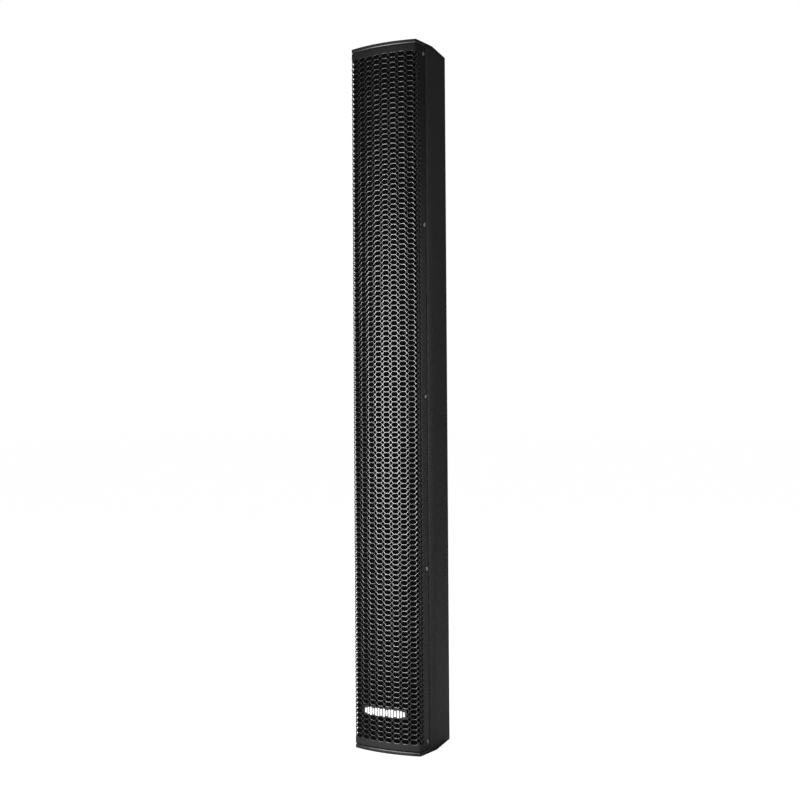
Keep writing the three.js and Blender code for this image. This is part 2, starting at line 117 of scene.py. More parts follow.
# Foam, badge and holes.
FOAM_SINKS = (1.4 * MM, 4.4 * MM)
FOAM_CELL = 5 * MM
FOAM_RELIEF = 0.22 * MM
BADGE_WIDTH = 70 * MM
BADGE_BARS = (6.6, 9.0, 11.0, 8.4, 10.2, 11.0, 9.2, 11.0, 7.6, 10.2, 11.0, 8.4, 10.4, 9.0, 6.6)
BACKING_FACE = 0.8 * MM
BAR_FACE = 1.5 * MM
PLATE_WINDOW = (34 * MM, 78 * MM)
INSERT_HOLE = 4.55 * MM
PILOT_HOLE = 1.8 * MM
PILOT_DEPTH = 8 * MM

# How far a cutting tool goes past a face, and how near a point has to be to count as on a level.
OVERCUT = 1 * MM
TOUCH = 1e-6
ACROSS, UPWARDS = Vector((1, 0, 0)), Vector((0, 0, 1))
TO_REAR, TO_FRONT = (0, 1, 0), (0, -1, 0)


# ---------------- meshes

def link(obj):
    bpy.context.scene.collection.objects.link(obj)
    return obj


def in_mm(*rows):
    """Rows of numbers in millimetres, as tuples in metres."""
    return [tuple(number * MM for number in row) for row in rows]


def mesh_from(bm, name="tool", sharp_degrees=35):
    """The mesh of bm with smooth faces, except across edges sharper than the angle given."""
    bmesh.ops.recalc_face_normals(bm, faces=bm.faces)
    mesh = bpy.data.meshes.new(name)
    bm.to_mesh(mesh)
    bm.free()
    return smoothed(mesh, sharp_degrees)


def smoothed(mesh, sharp_degrees=35):
    mesh.shade_smooth()
    mesh.set_sharp_from_angle(angle=radians(sharp_degrees))
    return mesh


def carve(mesh, tools, operation="DIFFERENCE", sharp_degrees=35):
    """mesh cut by, or joined with, the tool meshes, which are used up."""
    host = link(bpy.data.objects.new("host", mesh))
    helpers = [link(bpy.data.objects.new("tool", tool)) for tool in tools]
    for helper in helpers:
        step = host.modifiers.new("step", "BOOLEAN")
        step.operation = operation
        step.solver = "MANIFOLD"
        step.object = helper
    graph = bpy.context.evaluated_depsgraph_get()
    result = bpy.data.meshes.new_from_object(host.evaluated_get(graph))
    result.name = mesh.name
    for helper in [host, *helpers]:
        bpy.data.objects.remove(helper)
    return smoothed(result, sharp_degrees)


def round_rims(bm, radius, steps, level=None):
    """Rounds the sharp edges of bm: those that lie at a level in y, or all of them."""
    sharp = [e for e in bm.edges if e.is_manifold and e.calc_face_angle(0) > radians(30)]
    if level is not None:
        sharp = [e for e in sharp if all(abs(v.co.y - level) < TOUCH for v in e.verts)]
    bmesh.ops.bevel(bm, geom=sharp, offset=radius, segments=steps, profile=0.5, affect="EDGES")


def loft(rings):
    """A bmesh through a stack of closed rings with the same number of points, capped at both ends."""
    bm = bmesh.new()
    rings = [[bm.verts.new(point) for point in ring] for ring in rings]
    for here, there in zip(rings, rings[1:]):
        for i in range(len(here)):
            j = (i + 1) % len(here)
            bm.faces.new((here[i], here[j], there[j], there[i]))
    bm.faces.new(reversed(rings[0]))
    bm.faces.new(rings[-1])
    return bm


def mirrored(points):
    """The other half of a plan outline that is even about x = 0, in running order."""
    return [(-x, y) for x, y in reversed(points)]


def merge(parts):
    """One bmesh that holds all the parts, which are used up."""
    whole = bmesh.new()
    for part in parts:
        step = bpy.data.meshes.new("step")
        part.to_mesh(step)
        part.free()
        whole.from_mesh(step)
        bpy.data.meshes.remove(step)
    return whole


def slice_at(bm, axis, places):
    """Cuts the faces of bm across an axis at each place, so that they can bend there."""
    for place in places:
        everything = bm.verts[:] + bm.edges[:] + bm.faces[:]
        bmesh.ops.bisect_plane(bm, geom=everything, dist=1e-7, plane_co=axis * place, plane_no=axis)


def raise_outline(points, low, high):
    """A bmesh of a closed plan outline, counter-clockwise from above, raised from low to high."""
    return loft([[(x, y, z) for x, y in points] for z in (low, high)])


def turn_rounded(corners, sides):
    """A bmesh turned about the Y axis from (radius, y, corner radius) triples."""
    return turn_profile([(max(0, radius), y) for radius, y in round_outline(corners, 3)], sides)


def thicken_outline(points, front, back):
    """A bmesh of a closed outline in x and z, as seen from the front, thickened from front to back."""
    return loft([[(x, y, z) for x, z in points] for y in (back, front)])


def turn_profile(profile, sides):
    """A bmesh turned about the Y axis from radius and y pairs. A radius of 0 is a point on the axis."""
    bm = bmesh.new()
    rings = []
    for radius, y in profile:
        count = 1 if radius == 0 else sides
        angles = [2 * pi * i / sides for i in range(count)]
        rings.append([bm.verts.new((radius * cos(a), y, radius * sin(a))) for a in angles])
    closed = profile[0][0] > 0
    pairs = list(zip(rings, rings[1:] + rings[:1])) if closed else list(zip(rings, rings[1:]))
    for here, there in pairs:
        for i in range(sides):
            j = (i + 1) % sides
            corners = [ring[k % len(ring)] for ring, k in ((here, i), (here, j), (there, j), (there, i))]
            bm.faces.new(list(dict.fromkeys(corners)))
    return bm


def rod_along_y(radius, front, back, x, z, sides=48):
    bm = turn_profile([(0, front), (radius, front), (radius, back), (0, back)], sides)
    return mesh_from(moved(bm, Matrix.Translation((x, 0, z))))


def moved(bm, matrix):
    bmesh.ops.transform(bm, verts=bm.verts, matrix=matrix)
    return bm


def turned(bm, angle):
    """bm turned about the Y axis."""
    return moved(bm, Matrix.Rotation(angle, 4, "Y"))


def slab(width, height, corner, front, back, x=0.0, z=0.0):
    """A bmesh of a plate with rounded corners, from its sizes and place in millimetres."""
    width, height, corner, front, back, x, z = (n * MM for n in (width, height, corner, front, back, x, z))
    return thicken_outline(rounded_rectangle(width, height, corner, x, z), front, back)


def round_corner(before, corner, after, radius, steps=5):
    """Points of the arc that rounds a corner between two straight runs."""
    before, corner, after = Vector(before), Vector(corner), Vector(after)
    if radius == 0:
        return [tuple(corner)]
    back = (before - corner).normalized()
    on = (after - corner).normalized()
    half = back.angle(on) / 2
    centre = corner + (back + on).normalized() * radius / sin(half)
    first = corner + back * radius / tan(half) - centre
    last = corner + on * radius / tan(half) - centre
    sweep = first.angle_signed(last)
    arc = []
    for i in range(steps + 1):
        spoke = first.copy()
        spoke.rotate(Matrix.Rotation(-sweep * i / steps, 2))
        arc.append(tuple(centre + spoke))
    return arc


def round_outline(corners, steps=5):
    """An outline from (x, y, corner radius) triples, which closes on itself."""
    points = []
    for i, (x, y, radius) in enumerate(corners):
        before = corners[i - 1][:2]
        after = corners[(i + 1) % len(corners)][:2]
        points += round_corner(before, (x, y), after, radius, steps)
    return points


def rounded_rectangle(width, height, corner, x=0.0, z=0.0):
    right, top = width / 2, height / 2
    corners = [(-right, -top), (right, -top), (right, top), (-right, top)]
    return round_outline([(x + dx, z + dz, corner) for dx, dz in corners])


# ---------------- materials

def add_node(tree, kind, **settings):
    node = tree.nodes.new(kind)
    for name, value in settings.items():
        if hasattr(node, name):
            setattr(node, name, value)
        else:
            node.inputs[name].default_value = value
    return node


def settle(node, settings):
    """Sets constant values on a node's inputs."""
    for name, value in settings.items():
        node.inputs[name].default_value = value


def join(source, output, target, entry):
    source.id_data.links.new(source.outputs[output], target.inputs[entry])


def colour(tone):
    """Red, green, blue and alpha of a colour, or of a number for a grey."""
    return (*tone, 1) if isinstance(tone, tuple) else (tone, tone, tone, 1)


def bluish(level, blue):
    return (level, level, level * blue)


def surface(name, dark, light, roughness, grain, depth,
            metallic=0.0, specular=0.5, pebbles=False, spread=0.08):
    """A finish whose colour drifts between two tones, with a fine relief.

    A tone is a colour, or a number for a grey. grain is the number of relief cells in a metre and
    depth their height in millimetres.
    """
    material = bpy.data.materials.new(name)
    material.use_nodes = True
    tree = material.node_tree
    shader = tree.nodes["Principled BSDF"]
    settle(shader, {"Metallic": metallic, "Specular IOR Level": specular})
    place = add_node(tree, "ShaderNodeTexCoord")
    drift = add_node(tree, "ShaderNodeTexNoise", Scale=grain / 4, Detail=4.0, Roughness=0.6)
    tones = add_node(tree, "ShaderNodeValToRGB")
    for element, tone in zip(tones.color_ramp.elements, (dark, light)):
        element.color = colour(tone)
    gloss = add_node(tree, "ShaderNodeMapRange")
    settle(gloss, {"To Min": roughness - spread, "To Max": roughness + spread})
    if pebbles:
        relief = add_node(tree, "ShaderNodeTexVoronoi", feature="SMOOTH_F1", Scale=grain, Smoothness=0.6)
    else:
        relief = add_node(tree, "ShaderNodeTexNoise", Scale=grain, Detail=3.0, Roughness=0.55)
    bump = add_node(tree, "ShaderNodeBump", Strength=1.0, Distance=depth * MM)
    join(place, "Object", drift, "Vector")
    join(place, "Object", relief, "Vector")
    join(drift, "Fac", tones, "Fac")
    join(tones, "Color", shader, "Base Color")
    join(drift, "Fac", gloss, "Value")
    join(gloss, "Result", shader, "Roughness")
    join(relief, "Distance" if pebbles else "Fac", bump, "Height")
    join(bump, "Normal", shader, "Normal")
    return material


PAINT = surface("textured_paint", bluish(0.009, 1.15), bluish(0.020, 1.15), 0.50, 520, 0.22,
                specular=0.6, pebbles=True)
CAP = surface("cap_paint", bluish(0.009, 1.15), bluish(0.015, 1.15), 0.34, 900, 0.03)
BOARD = surface("raw_board", (0.06, 0.045, 0.032), (0.09, 0.07, 0.05), 0.85, 600, 0.05)
COAT = surface("powder_coat", 0.007, bluish(0.010, 1.05), 0.27, 1500, 0.02,
               specular=0.75, spread=0.03)
FOAM = surface("open_cell_foam", 0.002, 0.005, 0.95, 900, 0.4,
               specular=0.0, pebbles=True, spread=0.03)
BACKING = surface("badge_backing", 0.006, 0.009, 0.45, 900, 0.01)
WHITE = surface("badge_white", 0.80, 0.86, 0.35, 600, 0.01)
SCREW = surface("plated_steel", 0.45, 0.60, 0.40, 2500, 0.01, metallic=0.9)
PRESSED = surface("pressed_steel", 0.02, 0.035, 0.5, 900, 0.02, metallic=0.3)
ZINC = surface("zinc_plate", 0.42, 0.55, 0.38, 1500, 0.01, metallic=1.0)
FERRITE = surface("ferrite_motor", 0.05, 0.085, 0.6, 1200, 0.03, metallic=0.3)
PAPER = surface("cone_paper", 0.015, 0.03, 0.85, 1400, 0.06, specular=0.2)
RUBBER = surface("surround_rubber", 0.008, 0.014, 0.5, 800, 0.01)
PLATE = surface("plate_coat", 0.014, 0.020, 0.45, 1300, 0.03)
PLASTIC = surface("moulded_plastic", 0.010, 0.016, 0.42, 1500, 0.02)
CONTACT = surface("plated_contact", (0.62, 0.60, 0.55), (0.72, 0.70, 0.66), 0.25, 1500, 0.005,
                  metallic=1.0)
BRASS = surface("turned_brass", (0.55, 0.40, 0.16), (0.66, 0.50, 0.24), 0.3, 1800, 0.01, metallic=1.0)
CIRCUIT = surface("solder_mask", (0.02, 0.12, 0.05), (0.03, 0.16, 0.07), 0.35, 700, 0.03)
COPPER = surface("enamelled_wire", (0.45, 0.17, 0.06), (0.60, 0.26, 0.10), 0.3, 900, 0.05, metallic=0.9)
FILM = surface("film_capacitor", (0.32, 0.05, 0.03), (0.42, 0.08, 0.04), 0.25, 500, 0.02)
CERAMIC = surface("ceramic_brick", (0.62, 0.58, 0.50), (0.74, 0.70, 0.62), 0.8, 900, 0.06)
WADDING = surface("polyester_wadding", 0.55, 0.78, 0.95, 350, 1.2, specular=0.1)


def make_piece(name, mesh, material, nodes=None, body=BODY, matrix=None):
    """A visible piece with its finish, which rides on a body.

    It stands for the CAD nodes given, or for the node of its own name when none are given.
    """
    obj = link(bpy.data.objects.new(name, mesh))
    if matrix is not None:
        obj.matrix_world = matrix
    mesh.materials.clear()
    mesh.materials.append(material)
    even = obj.modifiers.new("flat_faces", "WEIGHTED_NORMAL")
    even.keep_sharp = True
    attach(obj, body)
    if nodes is None:
        nodes = [name]
    if nodes:
        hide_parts(*nodes)
    return obj


# ---------------- outlines of the cabinet

def skin(run, sink):
    """Plan point at a distance round the outer skin from the centre line, set in by sink."""
    side = copysign(1, run)
    run = abs(run)
    if run <= BOW_LENGTH:
        angle = run / BOW_RADIUS
        reach = BOW_RADIUS - sink
        return side * reach * sin(angle), BOW_CENTRE_Y - reach * cos(angle)
    if run <= BOW_LENGTH + FOLD_LENGTH:
        angle = FOLD_ANGLE + (run - BOW_LENGTH) / FOLD_RADIUS
        reach = FOLD_RADIUS - sink
        return side * (FOLD_CENTRE_X + reach * sin(angle)), FOLD_CENTRE_Y - reach * cos(angle)
    return side * (HALF - sink), FOLD_CENTRE_Y + run - BOW_LENGTH - FOLD_LENGTH


def wrap(bm):
    """Bends a flat mesh in run, sink and height on to the skin."""
    for vert in bm.verts:
        vert.co.x, vert.co.y = skin(vert.co.x, vert.co.y)


def outer_half_width(depth):
    return HALF - max(0, depth - SIDE_STRAIGHT) * TAPER_SLOPE


def inner_half_width(depth):
    across = SIDE_THICKNESS * hypot(1, TAPER_SLOPE)
    return min(HALF - SHEET - GAP - SIDE_THICKNESS, outer_half_width(depth) - across)


# ---------------- cabinet

def lip_outline(front_sink, rear_sink):
    """The full plan outline, set in by one amount round the grille and by another elsewhere."""
    bow = [BOW_LENGTH * (2 * i / 28 - 1) for i in range(29)]
    flange = [BOW_LENGTH + FOLD_LENGTH * i / 4 for i in range(1, 5)] + [FLANGE_END - SEAM_OVERLAP]
    runs = [-run for run in reversed(flange)] + bow + flange
    front = [skin(run, front_sink) for run in runs]
    bend = (HALF - rear_sink, FOLD_Y + SIDE_STRAIGHT)
    rear = (outer_half_width(DEPTH) - rear_sink * (1 - TAPER_SLOPE), REAR_Y - rear_sink)
    back = round_corner(bend, rear, (-rear[0], rear[1]), EDGE_RADIUS - rear_sink)
    behind = [(HALF - rear_sink, GRILLE_HIGH.y + 0.4 * MM), bend, *back]
    return front + behind + mirrored(behind)


def make_end_panel(name, top):
    """The lip, with the full outline and a beaded front, and a plug on it that fits inside the cabinet."""
    low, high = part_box(name)
    outside, far, inwards = (high.z, low.z, -1) if top else (low.z, high.z, 1)
    quarter = [pi / 2 * i / 5 for i in range(6)]
    levels = []
    for a in quarter:
        sink = LIP_EDGE * (1 - sin(a))
        levels.append((LIP_EDGE * (1 - cos(a)), sink, sink))
    for a in quarter:
        levels.append((LIP - BEAD_HEIGHT * (1 - sin(a)), BEAD_SINK * (1 - cos(a)), 0))
    rings = []
    for level, front_sink, rear_sink in levels:
        z = outside + inwards * level
        rings.append([(x, y, z) for x, y in lip_outline(front_sink, rear_sink)])
    lip = mesh_from(loft(rings), name)
    plug_front = inner_half_width(0) - GAP
    plug_rear = inner_half_width(DEPTH - REAR_THICKNESS) - GAP
    bend, rear = FOLD_Y + SIDE_STRAIGHT, REAR_Y - REAR_THICKNESS - GAP
    half = [(plug_front, PANEL_LOW.y), (plug_front, bend), (plug_rear, rear)]
    middle = outside + inwards * LIP / 2
    plug = raise_outline(half + mirrored(half), min(middle, far), max(middle, far))
    make_piece(name, carve(lip, [mesh_from(plug)], "UNION"), CAP)


def screw_hole(place, direction):
    """A countersunk hole whose mouth is at that place and which goes inwards along direction."""
    mouth, bore, cone, depth = 4.1 * MM, 1.8 * MM, 2.3 * MM, 9.5 * MM
    profile = [(0, -OVERCUT), (mouth, -OVERCUT), (mouth, 0), (bore, cone), (bore, depth), (0, depth)]
    return mesh_from(moved(turn_profile(profile, 32), Matrix.Translation(place) @ aim_y(direction)))


def aim_y(direction):
    """The turn that takes +Y to direction, one of the row's axes."""
    return Vector((0, 1, 0)).rotation_difference(Vector(direction)).to_matrix().to_4x4()


def box_centre(node):
    low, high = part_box(node)
    return (low + high) / 2


def place_of(node):
    """The corners and the centre of a node's box."""
    low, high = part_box(node)
    return low, high, (low + high) / 2


def rear_middle(node):
    """The middle of the rear face of a node's box."""
    at = box_centre(node)
    at.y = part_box(node)[1].y
    return at


def face_outline(node, corner, margin=0.0):
    """A node's box as seen from the front, less a margin, with rounded corners."""
    low, high, at = place_of(node)
    width, height = high.x - low.x - 2 * margin, high.z - low.z - 2 * margin
    return rounded_rectangle(width, height, corner, at.x, at.z)


def nodes_named(start):
    return sorted(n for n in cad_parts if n.startswith(start))


def flange_screws(side):
    word = "right" if side > 0 else "left"
    return [(n, box_centre(n)) for n in nodes_named(f"grille_screw_{word}_")]


def flange_screw_holes(side):
    return [screw_hole((side * HALF, at.y, at.z), (-side, 0, 0)) for _, at in flange_screws(side)]


def make_side_panel(name, side):
    step_x, step_y = HALF - SHEET - GAP, GRILLE_HIGH.y + SEAM
    groove_x, groove_y = step_x - SEAM_GROOVE, GRILLE_HIGH.y - SEAM_OVERLAP
    bend = FOLD_Y + SIDE_STRAIGHT
    inner_front, inner_rear = inner_half_width(0), inner_half_width(DEPTH)
    inner_bend = bend + (HALF - SIDE_THICKNESS * hypot(1, TAPER_SLOPE) - inner_front) / TAPER_SLOPE
    points = round_outline([
        (step_x, PANEL_LOW.y, 0.5 * MM),
        (step_x, groove_y, 0),
        (groove_x, groove_y, 0),
        (groove_x, step_y, 0),
        (HALF - SEAM_BEVEL[0], step_y, SEAM_RADIUS),
        (HALF, step_y + SEAM_BEVEL[1], SEAM_RADIUS),
        (HALF, bend, 0),
        (outer_half_width(DEPTH), REAR_Y, EDGE_RADIUS),
        (inner_rear, REAR_Y, 0),
        (inner_front, inner_bend, 0),
        (inner_front, PANEL_LOW.y, 0),
    ])
    if side < 0:
        points = mirrored(points)
    panel = mesh_from(raise_outline(points, BASE_Z + LIP, TOP_Z - LIP), name)
    make_piece(name, carve(panel, flange_screw_holes(side)), PAINT)


def make_rear_panel():
    low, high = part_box("rear_panel")
    outside, inside = inner_half_width(DEPTH), inner_half_width(DEPTH - REAR_THICKNESS)
    points = [(-inside, low.y), (inside, low.y), (outside, high.y), (-outside, high.y)]
    panel = mesh_from(raise_outline(points, BASE_Z + LIP, TOP_Z - LIP), "rear_panel")
    plate = box_centre("terminal_plate")
    window = rounded_rectangle(*PLATE_WINDOW, 3 * MM, plate.x, plate.z)
    front, rear = low.y - OVERCUT, high.y + OVERCUT
    tools = [mesh_from(thicken_outline(window, front, rear))]
    for node in nodes_named("bracket_insert"):
        at = box_centre(node)
        tools.append(rod_along_y(INSERT_HOLE, front, rear, at.x, at.z))
    for node in nodes_named("plate_screw"):
        at = box_centre(node)
        tools.append(rod_along_y(PILOT_HOLE, high.y - PILOT_DEPTH, rear, at.x, at.z, 24))
    make_piece("rear_panel", carve(panel, tools), PAINT)


# ---------------- perforated grille

def inset_hole(nodes, inset, cut):
    """The hole inside a ring of bar centre lines: each side moved in, each corner cut across."""
    count = len(nodes)
    lines = []
    for i in range(count):
        a, b = Vector(nodes[i]), Vector(nodes[(i + 1) % count])
        along = (b - a).normalized()
        inward = Vector((-along.y, along.x))
        lines.append((a + inward * inset, along))
    corners = []
    for i in range(count):
        (p, d), (q, e) = lines[i - 1], lines[i]
        reach = (q - p).cross(e) / d.cross(e)
        meet = p + d * reach
        corners.append((meet - d * cut, meet + e * cut))
    return corners


class SheetBuilder:
    """A flat sheet in run (x), sink (y) and height (z), with each corner point made only once."""

    def __init__(self):
        self.bm = bmesh.new()
        self.points = {}

    def vert(self, run, height, sink):
        key = (round(run * 1e7), round(height * 1e7), round(sink * 1e7))
        if key not in self.points:
            self.points[key] = self.bm.verts.new((run, sink, height))
        return self.points[key]

    def plain(self, corners):
        """A face of the front and one of the back, from corners counter-clockwise as seen from the front."""
        self.bm.faces.new([self.vert(u, z, 0) for u, z in corners])
        self.bm.faces.new([self.vert(u, z, SHEET) for u, z in reversed(corners)])

    def hole(self, nodes, inset, cut):
        """The crowned bars half round a hole, their backs, and the hole's walls."""
        corners = inset_hole(nodes, inset, cut)
        drop = BAR_CROWN * inset / HEXAGON_INSET
        count = len(nodes)
        for i in range(count):
            j = (i + 1) % count
            start, end = corners[i][1], corners[j][0]
            self.crown([nodes[i], nodes[j]], [end, start], drop)
            self.crown([nodes[i]], [corners[i][1], corners[i][0]], drop)
        rim = [point for corner in corners for point in corner]
        for i in range(len(rim)):
            a, b = rim[i], rim[(i + 1) % len(rim)]
            front = [self.vert(*a, drop), self.vert(*b, drop)]
            back = [self.vert(*b, SHEET), self.vert(*a, SHEET)]
            self.bm.faces.new(front + back)

    def crown(self, ridge, rim, drop):
        front = [self.vert(u, z, 0) for u, z in ridge] + [self.vert(u, z, drop) for u, z in rim]
        back = [self.vert(u, z, SHEET) for u, z in ridge + rim]
        self.bm.faces.new(front)
        self.bm.faces.new(reversed(back))

    def rim(self, outline):
        for i in range(len(outline)):
            a, b = outline[i], outline[(i + 1) % len(outline)]
            corners = ((a, 0), (a, SHEET), (b, SHEET), (b, 0))
            self.bm.faces.new([self.vert(*point, sink) for point, sink in corners])


def column_run(column):
    return (column - (CELL_COLUMNS - 1) / 2) * CELL_WIDTH


def build_flat_grille():
    sheet = SheetBuilder()
    tip, half = CELL_WIDTH / 2, CELL_HEIGHT / 2
    for column in range(CELL_COLUMNS):
        u = column_run(column)
        for row in range(CELL_ROWS):
            z = HOLES_BOTTOM + (row + 0.5) * CELL_HEIGHT
            sheet.hole([
                (u + tip, z),
                (u + SHOULDER, z + half),
                (u - SHOULDER, z + half),
                (u - tip, z),
                (u - SHOULDER, z - half),
                (u + SHOULDER, z - half),
            ], HEXAGON_INSET, HEXAGON_CUT)
            if row and column:
                centre, level = u - tip, z - half
                narrow = tip - SHOULDER
                sheet.hole([
                    (centre + narrow, level),
                    (centre, level + half),
                    (centre - narrow, level),
                    (centre, level - half),
                ], DIAMOND_INSET, DIAMOND_CUT)
    low, high = GRILLE_LOW.z, GRILLE_HIGH.z
    below = []
    for column in range(CELL_COLUMNS):
        u = column_run(column)
        below.append((u - tip, HOLES_BOTTOM + half))
        below += [(u - SHOULDER, HOLES_BOTTOM), (u + SHOULDER, HOLES_BOTTOM)]
    last = column_run(CELL_COLUMNS - 1)
    below.append((last + tip, HOLES_BOTTOM + half))
    above = [(u, BASE_Z + TOP_Z - z) for u, z in below]
    for (u, z), (v, y) in zip(below, below[1:]):
        sheet.plain([(u, low), (v, low), (v, y), (u, z)])
    for (u, z), (v, y) in zip(above, above[1:]):
        sheet.plain([(u, z), (v, y), (v, high), (u, high)])
    beside = [(last + tip, HOLES_BOTTOM + half)]
    for row in range(1, CELL_ROWS):
        z = HOLES_BOTTOM + row * CELL_HEIGHT
        beside += [(last + SHOULDER, z), (last + tip, z + half)]
    ladder = [(last + tip, low), *beside, (last + tip, high)]
    for (u, z), (v, y) in zip(ladder, ladder[1:]):
        sheet.plain([(u, z), (FLANGE_END, z), (FLANGE_END, y), (v, y)])
        sheet.plain([(-FLANGE_END, z), (-u, z), (-v, y), (-FLANGE_END, y)])
    runs = [u for u, _ in below]
    heights = [z for _, z in ladder]
    outline = [(-FLANGE_END, low)] + [(u, low) for u in runs] + [(FLANGE_END, z) for z in heights]
    outline += [(u, high) for u in reversed(runs)] + [(-FLANGE_END, z) for z in reversed(heights[1:])]
    sheet.rim(outline)
    return sheet.bm


def make_grille():
    bm = build_flat_grille()
    for side in (-1, 1):
        bends = [BOW_LENGTH + FOLD_LENGTH * i / FOLD_STEPS for i in range(FOLD_STEPS + 1)]
        slice_at(bm, ACROSS, [side * run for run in bends])
    wrap(bm)
    mesh = bpy.data.meshes.new("grille")
    bm.to_mesh(mesh)
    bm.free()
    mesh = carve(mesh, flange_screw_holes(-1) + flange_screw_holes(1), sharp_degrees=50)
    make_piece("grille", mesh, COAT)


# ---------------- foam and badge

def make_grille_foam():
    """An open-cell sheet that follows the inner face of the grille's bow."""
    low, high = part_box("grille_foam")
    front_sink, back_sink = FOAM_SINKS
    edge = BOW_RADIUS * asin(high.x / BOW_RADIUS)
    runs = [edge * (2 * i / 44 - 1) for i in range(45)]
    points = [skin(run, front_sink) for run in runs] + [skin(run, back_sink) for run in reversed(runs)]
    bm = raise_outline(points, low.z, high.z)
    strips = 160
    slice_at(bm, UPWARDS, [low.z + (high.z - low.z) * i / strips for i in range(1, strips)])
    for vert in bm.verts:
        push = noise.noise_vector(vert.co / FOAM_CELL) * FOAM_RELIEF
        vert.co += Vector((push.x, push.y, 0))
    foam = make_piece("grille_foam", mesh_from(bm, "grille_foam"), FOAM)


def make_badge():
    """A dark backing on the grille with a row of white bars of uneven height."""
    low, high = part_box("badge")
    middle = (low.z + high.z) / 2
    strips = 16
    outline = rounded_rectangle(BADGE_WIDTH, high.z - low.z, 2.5 * MM, 0, middle)
    backing = thicken_outline(outline, -BACKING_FACE, -0.02 * MM)
    round_rims(backing, 0.3 * MM, 2, -BACKING_FACE)
    slice_at(backing, ACROSS, [BADGE_WIDTH * (i / strips - 0.5) for i in range(1, strips)])
    wrap(backing)
    make_piece("badge_backing", mesh_from(backing, "badge_backing"), BACKING, ["badge"])
    pitch = (BADGE_WIDTH - 4 * MM) / len(BADGE_BARS)
    bars = []
    for i, height in enumerate(BADGE_BARS):
        centre = (i - (len(BADGE_BARS) - 1) / 2) * pitch
        outline = rounded_rectangle(pitch * 0.72, height * MM, 0.8 * MM, centre, middle)
        bar = thicken_outline(outline, -BAR_FACE, -0.7 * MM)
        round_rims(bar, 0.25 * MM, 2, -BAR_FACE)
        wrap(bar)
        bars.append(bar)
    make_piece("badge_bars", mesh_from(merge(bars), "badge_bars"), WHITE, ["badge"])


# ---------------- screws

SCREW_LENGTH = 9 * MM


def shaft(radius, start, end, step):
    """Profile points along a straight shaft, close enough together to take a thread."""
    count = max(1, round(abs(end - start) / step))
    return [(radius, start + (end - start) * i / count) for i in range(count + 1)]


def cut_thread(bm, radius, pitch, depth):
    """Moves the points at that radius into a helical thread, inwards if depth is positive."""
    for vert in bm.verts:
        reach = hypot(vert.co.x, vert.co.z)
        if abs(reach - radius) < TOUCH:
            turn = atan2(vert.co.z, vert.co.x) / (2 * pi)
            phase = (vert.co.y / pitch + turn) % 1
            factor = 1 - depth * abs(2 * phase - 1) / reach
            vert.co.x *= factor
            vert.co.z *= factor


def make_recess_blade(angle):
    """One arm pair of the cross recess: a blade that narrows towards its point."""
    rings = []
    for y, length, width in in_mm((1.5, 0.5, 0.22), (-0.2, 1.6, 0.42)):
        rings.append([(x * length, y, z * width) for x, z in ((-1, -1), (1, -1), (1, 1), (-1, 1))])
    return mesh_from(turned(loft(rings), angle))


def make_screw_mesh():
    """A countersunk screw: its face at y = 0, its point towards +Y."""
    root = 1.5 * MM
    head = in_mm((0, 0), (2.4, 0), (2.6, 0.12), (2.6, 0.3), (1.5, 1.6))
    thread = shaft(root, 1.9 * MM, SCREW_LENGTH - 1.6 * MM, 0.28 * MM)
    bm = turn_profile(head + thread + [(0, SCREW_LENGTH)], 24)
    cut_thread(bm, root, 1.1 * MM, 0.35 * MM)
    blades = [make_recess_blade(0), make_recess_blade(pi / 2)]
    return carve(mesh_from(bm, "screw"), blades, sharp_degrees=25)


SCREW_MESH = make_screw_mesh()


def place_screw(name, at, direction, twist, nodes=()):
    """A screw whose face is at a point, driven along direction and turned by twist."""
    matrix = Matrix.Translation(at) @ aim_y(direction) @ Matrix.Rotation(twist, 4, "Y")
    make_piece(name, SCREW_MESH, SCREW, nodes, matrix=matrix)


def make_screws():
    places = []
    for side in (-1, 1):
        for node, at in flange_screws(side):
            places.append((node, (side * HALF, at.y, at.z), (-side, 0, 0)))
    places += [(node, rear_middle(node), TO_FRONT) for node in nodes_named("plate_screw_")]
    twist = 0.4
    for node, at, direction in places:
        place_screw(node, at, direction, twist, [node])
        twist += 1.1


# ---------------- baffle and drivers

DRIVERS = sum(1 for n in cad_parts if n.startswith("driver_basket_"))
BASKET_SCREW = 33 * MM
THROAT = 34.2 * MM
CUTOUT = 36.4 * MM
FLANGE_DEPTH = 2.5 * MM


def driver_place(i):
    """The middle of a driver's mounting plane."""
    low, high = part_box(f"driver_basket_{i + 1}")
    return Vector(((low.x + high.x) / 2, low.y + FLANGE_DEPTH, (low.z + high.z) / 2))


def make_front_baffle():
    low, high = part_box("front_baffle")
    outline = [(low.x, low.z), (high.x, low.z), (high.x, high.z), (low.x, high.z)]
    bm = thicken_outline(outline, low.y, high.y)
    round_rims(bm, 0.6 * MM, 2)
    chamfer, behind = 0.7 * MM, high.y - low.y + OVERCUT
    mouth = CUTOUT + chamfer + OVERCUT
    profile = [(0, -OVERCUT), (mouth, -OVERCUT), (CUTOUT, chamfer), (CUTOUT, behind), (0, behind)]
    tools = []
    for i in range(DRIVERS):
        at = driver_place(i)
        place = Matrix.Translation((at.x, low.y, at.z))
        tools.append(mesh_from(moved(turn_profile(profile, 96), place)))
    mesh = carve(mesh_from(bm, "front_baffle"), tools)
    make_piece("front_baffle", mesh, BOARD)


